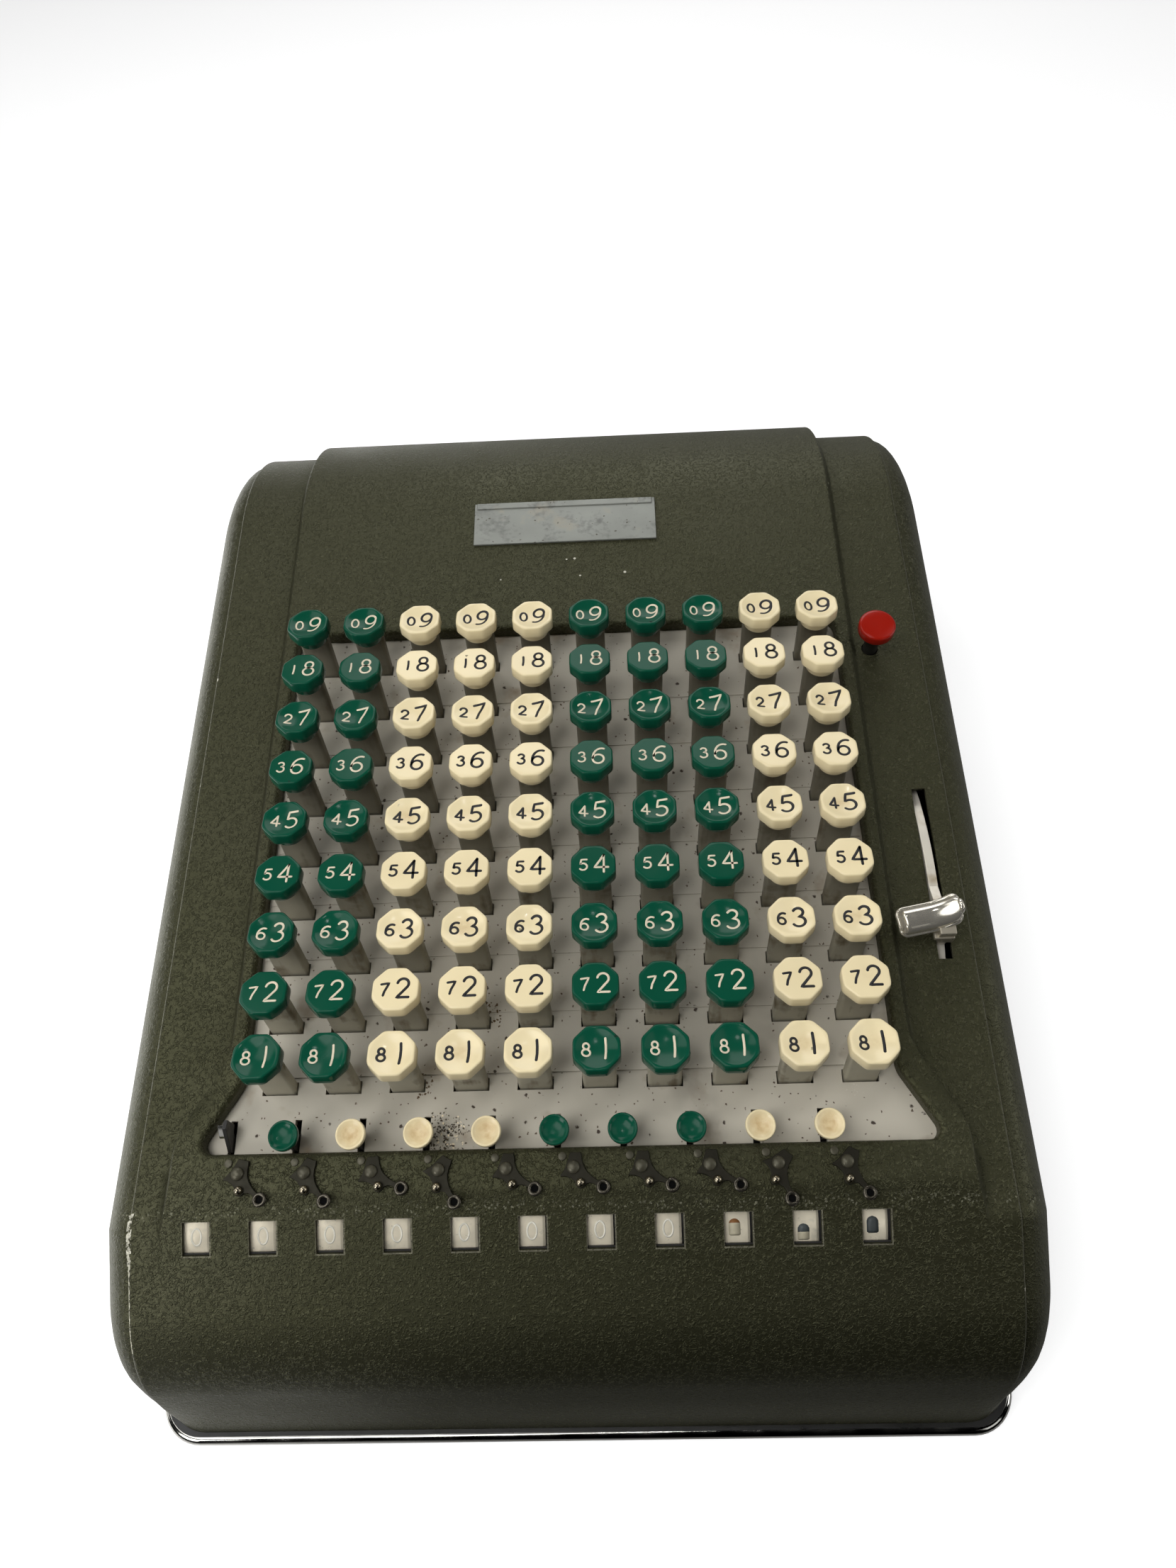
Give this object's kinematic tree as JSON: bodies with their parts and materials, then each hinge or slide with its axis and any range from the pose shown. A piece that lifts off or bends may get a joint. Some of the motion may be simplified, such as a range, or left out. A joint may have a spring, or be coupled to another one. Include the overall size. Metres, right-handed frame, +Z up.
{
  "type": "adding machine",
  "caption": "Key-driven desk calculator: sloping keyboard of octagonal keys, numeral wheels behind windows in a crinkle-painted hood, decimal pointers, cut-off levers and a clearing lever.",
  "frame": {"origin": "middle of the machine's footprint, on the table", "axes": "+X to the operator's right, +Y from the operator to the back, +Z up"},
  "size_m": [0.28, 0.3686, 0.1459],
  "materials": {
    "hood_paint": "olive crinkle enamel",
    "panel_metal": "dull warm grey, specked",
    "plate_metal": "satin",
    "black_paint": "black enamel",
    "chrome_strip": "bright",
    "chrome_handle": "bright",
    "foot_rubber": "matt",
    "frame_steel": "plain",
    "stem_steel": "dull, stained",
    "black_steel": "blackened",
    "dial_metal": "satin",
    "key_plastic": "cream in columns 3 to 5 and 9 to 10, dark green in the others",
    "green_plastic": "glossy",
    "red_plastic": "satin"
  },
  "bodies": {
    "case": {"hood": "hood_paint", "key_panel": "panel_metal", "name_plate": "plate_metal", "base_pan": "black_paint", "base_strip": "chrome_strip", "rubber_feet": "foot_rubber", "side_plates": "frame_steel", "cross_shafts": "frame_steel"},
    "key_row_1": {"key_caps_row_1": "key_plastic", "key_stems_row_1": "stem_steel"},
    "key_row_2": {"key_caps_row_2": "key_plastic", "key_stems_row_2": "stem_steel"},
    "key_row_3": {"key_caps_row_3": "key_plastic", "key_stems_row_3": "stem_steel"},
    "key_row_4": {"key_caps_row_4": "key_plastic", "key_stems_row_4": "stem_steel"},
    "key_row_5": {"key_caps_row_5": "key_plastic", "key_stems_row_5": "stem_steel"},
    "key_row_6": {"key_caps_row_6": "key_plastic", "key_stems_row_6": "stem_steel"},
    "key_row_7": {"key_caps_row_7": "key_plastic", "key_stems_row_7": "stem_steel"},
    "key_row_8": {"key_caps_row_8": "key_plastic", "key_stems_row_8": "stem_steel"},
    "key_row_9": {"key_caps_row_9": "key_plastic", "key_stems_row_9": "stem_steel"},
    "register_wheel_1": {"register_wheel_1": "dial_metal"},
    "register_wheel_2": {"register_wheel_2": "dial_metal"},
    "register_wheel_3": {"register_wheel_3": "dial_metal"},
    "register_wheel_4": {"register_wheel_4": "dial_metal"},
    "register_wheel_5": {"register_wheel_5": "dial_metal"},
    "register_wheel_6": {"register_wheel_6": "dial_metal"},
    "register_wheel_7": {"register_wheel_7": "dial_metal"},
    "register_wheel_8": {"register_wheel_8": "dial_metal"},
    "register_wheel_9": {"register_wheel_9": "dial_metal"},
    "register_wheel_10": {"register_wheel_10": "dial_metal"},
    "register_wheel_11": {"register_wheel_11": "dial_metal"},
    "decimal_pointer_1": {"decimal_pointer_1": "black_steel"},
    "decimal_pointer_2": {"decimal_pointer_2": "black_steel"},
    "decimal_pointer_3": {"decimal_pointer_3": "black_steel"},
    "decimal_pointer_4": {"decimal_pointer_4": "black_steel"},
    "decimal_pointer_5": {"decimal_pointer_5": "black_steel"},
    "decimal_pointer_6": {"decimal_pointer_6": "black_steel"},
    "decimal_pointer_7": {"decimal_pointer_7": "black_steel"},
    "decimal_pointer_8": {"decimal_pointer_8": "black_steel"},
    "decimal_pointer_9": {"decimal_pointer_9": "black_steel"},
    "decimal_pointer_10": {"decimal_pointer_10": "black_steel"},
    "cutoff_lever_1": {"cutoff_lever_1": "black_steel"},
    "cutoff_lever_2": {"cutoff_lever_2": "black_steel"},
    "cutoff_lever_3": {"cutoff_lever_3": "black_steel"},
    "cutoff_lever_4": {"cutoff_lever_4": "black_steel"},
    "cutoff_lever_5": {"cutoff_lever_5": "black_steel"},
    "cutoff_lever_6": {"cutoff_lever_6": "black_steel"},
    "cutoff_lever_7": {"cutoff_lever_7": "black_steel"},
    "cutoff_lever_8": {"cutoff_lever_8": "black_steel"},
    "cutoff_lever_9": {"cutoff_lever_9": "black_steel"},
    "cutoff_lever_10": {"cutoff_lever_10": "black_steel"},
    "column_levers": {"column_levers": "frame_steel"},
    "release_key": {"release_key": "red_plastic"},
    "clear_lever": {"clear_lever": "chrome_handle"}
  },
  "joints": [
    {"name": "key_row_1_press", "type": "slide", "parent": "case", "child": "key_row_1", "axis": [0, 0, -1], "range_m": [0, 0.00239], "stiffness_N_per_m": 500, "springref_m": -0.005},
    {"name": "key_row_2_press", "type": "slide", "parent": "case", "child": "key_row_2", "axis": [0, 0, -1], "range_m": [0, 0.00436], "stiffness_N_per_m": 500, "springref_m": -0.005},
    {"name": "key_row_3_press", "type": "slide", "parent": "case", "child": "key_row_3", "axis": [0, 0, -1], "range_m": [0, 0.00591], "stiffness_N_per_m": 500, "springref_m": -0.005},
    {"name": "key_row_4_press", "type": "slide", "parent": "case", "child": "key_row_4", "axis": [0, 0, -1], "range_m": [0, 0.00703], "stiffness_N_per_m": 500, "springref_m": -0.005},
    {"name": "key_row_5_press", "type": "slide", "parent": "case", "child": "key_row_5", "axis": [0, 0, -1], "range_m": [0, 0.00773], "stiffness_N_per_m": 500, "springref_m": -0.005},
    {"name": "key_row_6_press", "type": "slide", "parent": "case", "child": "key_row_6", "axis": [0, 0, -1], "range_m": [0, 0.008], "stiffness_N_per_m": 500, "springref_m": -0.005},
    {"name": "key_row_7_press", "type": "slide", "parent": "case", "child": "key_row_7", "axis": [0, 0, -1], "range_m": [0, 0.00785], "stiffness_N_per_m": 500, "springref_m": -0.005},
    {"name": "key_row_8_press", "type": "slide", "parent": "case", "child": "key_row_8", "axis": [0, 0, -1], "range_m": [0, 0.00727], "stiffness_N_per_m": 500, "springref_m": -0.005},
    {"name": "key_row_9_press", "type": "slide", "parent": "case", "child": "key_row_9", "axis": [0, 0, -1], "range_m": [0, 0.00628], "stiffness_N_per_m": 500, "springref_m": -0.005},
    {"name": "wheel_1_spin", "type": "hinge", "parent": "case", "child": "register_wheel_1", "pos_m": [-0.10533, -0.13085, 0.0678], "axis": [1, 0, 0], "continuous": true},
    {"name": "wheel_2_spin", "type": "hinge", "parent": "case", "child": "register_wheel_2", "pos_m": [-0.08628, -0.13085, 0.0678], "axis": [1, 0, 0], "continuous": true},
    {"name": "wheel_3_spin", "type": "hinge", "parent": "case", "child": "register_wheel_3", "pos_m": [-0.06722, -0.13085, 0.0678], "axis": [1, 0, 0], "continuous": true},
    {"name": "wheel_4_spin", "type": "hinge", "parent": "case", "child": "register_wheel_4", "pos_m": [-0.04818, -0.13085, 0.0678], "axis": [1, 0, 0], "continuous": true},
    {"name": "wheel_5_spin", "type": "hinge", "parent": "case", "child": "register_wheel_5", "pos_m": [-0.02913, -0.13085, 0.0678], "axis": [1, 0, 0], "continuous": true},
    {"name": "wheel_6_spin", "type": "hinge", "parent": "case", "child": "register_wheel_6", "pos_m": [-0.01008, -0.13085, 0.0678], "axis": [1, 0, 0], "continuous": true},
    {"name": "wheel_7_spin", "type": "hinge", "parent": "case", "child": "register_wheel_7", "pos_m": [0.00898, -0.13085, 0.0678], "axis": [1, 0, 0], "continuous": true},
    {"name": "wheel_8_spin", "type": "hinge", "parent": "case", "child": "register_wheel_8", "pos_m": [0.02803, -0.13085, 0.0678], "axis": [1, 0, 0], "continuous": true},
    {"name": "wheel_9_spin", "type": "hinge", "parent": "case", "child": "register_wheel_9", "pos_m": [0.04707, -0.13085, 0.0678], "axis": [1, 0, 0], "continuous": true},
    {"name": "wheel_10_spin", "type": "hinge", "parent": "case", "child": "register_wheel_10", "pos_m": [0.06613, -0.13085, 0.0678], "axis": [1, 0, 0], "continuous": true},
    {"name": "wheel_11_spin", "type": "hinge", "parent": "case", "child": "register_wheel_11", "pos_m": [0.08518, -0.13085, 0.0678], "axis": [1, 0, 0], "continuous": true},
    {"name": "pointer_1_turn", "type": "hinge", "parent": "case", "child": "decimal_pointer_1", "pos_m": [-0.09342, -0.12764, 0.09308], "axis": [0, -0.1908, 0.9816], "range_deg": [-35, 21]},
    {"name": "pointer_2_turn", "type": "hinge", "parent": "case", "child": "decimal_pointer_2", "pos_m": [-0.07437, -0.12764, 0.09308], "axis": [0, -0.1908, 0.9816], "range_deg": [-29, 27]},
    {"name": "pointer_3_turn", "type": "hinge", "parent": "case", "child": "decimal_pointer_3", "pos_m": [-0.05532, -0.12764, 0.09308], "axis": [0, -0.1908, 0.9816], "range_deg": [-52, 4]},
    {"name": "pointer_4_turn", "type": "hinge", "parent": "case", "child": "decimal_pointer_4", "pos_m": [-0.03628, -0.12764, 0.09308], "axis": [0, -0.1908, 0.9816], "range_deg": [-19, 37]},
    {"name": "pointer_5_turn", "type": "hinge", "parent": "case", "child": "decimal_pointer_5", "pos_m": [-0.01723, -0.12764, 0.09308], "axis": [0, -0.1908, 0.9816], "range_deg": [-46, 10]},
    {"name": "pointer_6_turn", "type": "hinge", "parent": "case", "child": "decimal_pointer_6", "pos_m": [0.00183, -0.12764, 0.09308], "axis": [0, -0.1908, 0.9816], "range_deg": [-47, 9]},
    {"name": "pointer_7_turn", "type": "hinge", "parent": "case", "child": "decimal_pointer_7", "pos_m": [0.02088, -0.12764, 0.09308], "axis": [0, -0.1908, 0.9816], "range_deg": [-48, 8]},
    {"name": "pointer_8_turn", "type": "hinge", "parent": "case", "child": "decimal_pointer_8", "pos_m": [0.03993, -0.12764, 0.09308], "axis": [0, -0.1908, 0.9816], "range_deg": [-46, 10]},
    {"name": "pointer_9_turn", "type": "hinge", "parent": "case", "child": "decimal_pointer_9", "pos_m": [0.05897, -0.12764, 0.09308], "axis": [0, -0.1908, 0.9816], "range_deg": [-7, 49]},
    {"name": "pointer_10_turn", "type": "hinge", "parent": "case", "child": "decimal_pointer_10", "pos_m": [0.07802, -0.12764, 0.09308], "axis": [0, -0.1908, 0.9816], "range_deg": [-22, 34]},
    {"name": "cutoff_1_tilt", "type": "hinge", "parent": "case", "child": "cutoff_lever_1", "pos_m": [-0.09832, -0.10936, 0.05986], "axis": [-1, 0, 0], "range_deg": [0, 6.5]},
    {"name": "cutoff_2_tilt", "type": "hinge", "parent": "case", "child": "cutoff_lever_2", "pos_m": [-0.07927, -0.10936, 0.05986], "axis": [-1, 0, 0], "range_deg": [0, 6.5]},
    {"name": "cutoff_3_tilt", "type": "hinge", "parent": "case", "child": "cutoff_lever_3", "pos_m": [-0.06023, -0.10936, 0.05986], "axis": [-1, 0, 0], "range_deg": [0, 6.5]},
    {"name": "cutoff_4_tilt", "type": "hinge", "parent": "case", "child": "cutoff_lever_4", "pos_m": [-0.04118, -0.10936, 0.05986], "axis": [-1, 0, 0], "range_deg": [0, 6.5]},
    {"name": "cutoff_5_tilt", "type": "hinge", "parent": "case", "child": "cutoff_lever_5", "pos_m": [-0.02212, -0.10936, 0.05986], "axis": [-1, 0, 0], "range_deg": [0, 6.5]},
    {"name": "cutoff_6_tilt", "type": "hinge", "parent": "case", "child": "cutoff_lever_6", "pos_m": [-0.00308, -0.10936, 0.05986], "axis": [-1, 0, 0], "range_deg": [0, 6.5]},
    {"name": "cutoff_7_tilt", "type": "hinge", "parent": "case", "child": "cutoff_lever_7", "pos_m": [0.01597, -0.10936, 0.05986], "axis": [-1, 0, 0], "range_deg": [0, 6.5]},
    {"name": "cutoff_8_tilt", "type": "hinge", "parent": "case", "child": "cutoff_lever_8", "pos_m": [0.03503, -0.10936, 0.05986], "axis": [-1, 0, 0], "range_deg": [0, 6.5]},
    {"name": "cutoff_9_tilt", "type": "hinge", "parent": "case", "child": "cutoff_lever_9", "pos_m": [0.05407, -0.10936, 0.05986], "axis": [-1, 0, 0], "range_deg": [0, 6.5]},
    {"name": "cutoff_10_tilt", "type": "hinge", "parent": "case", "child": "cutoff_lever_10", "pos_m": [0.07312, -0.10936, 0.05986], "axis": [-1, 0, 0], "range_deg": [0, 6.5]},
    {"name": "column_levers_swing", "type": "hinge", "parent": "case", "child": "column_levers", "pos_m": [0, 0.0985, 0.08], "axis": [1, 0, 0], "range_deg": [0, 6.12], "stiffness_Nm_per_rad": 3, "springref_deg": -14.32},
    {"name": "release_press", "type": "slide", "parent": "case", "child": "release_key", "axis": [0, 0.1908, -0.9816], "range_m": [0, 0.004], "stiffness_N_per_m": 300, "springref_m": -0.003},
    {"name": "clear_swing", "type": "hinge", "parent": "case", "child": "clear_lever", "pos_m": [0.116, -0.02541, 0.02626], "axis": [-1, 0, 0], "range_deg": [0, 26.5], "stiffness_Nm_per_rad": 0.2, "springref_deg": -20.05}
  ]
}
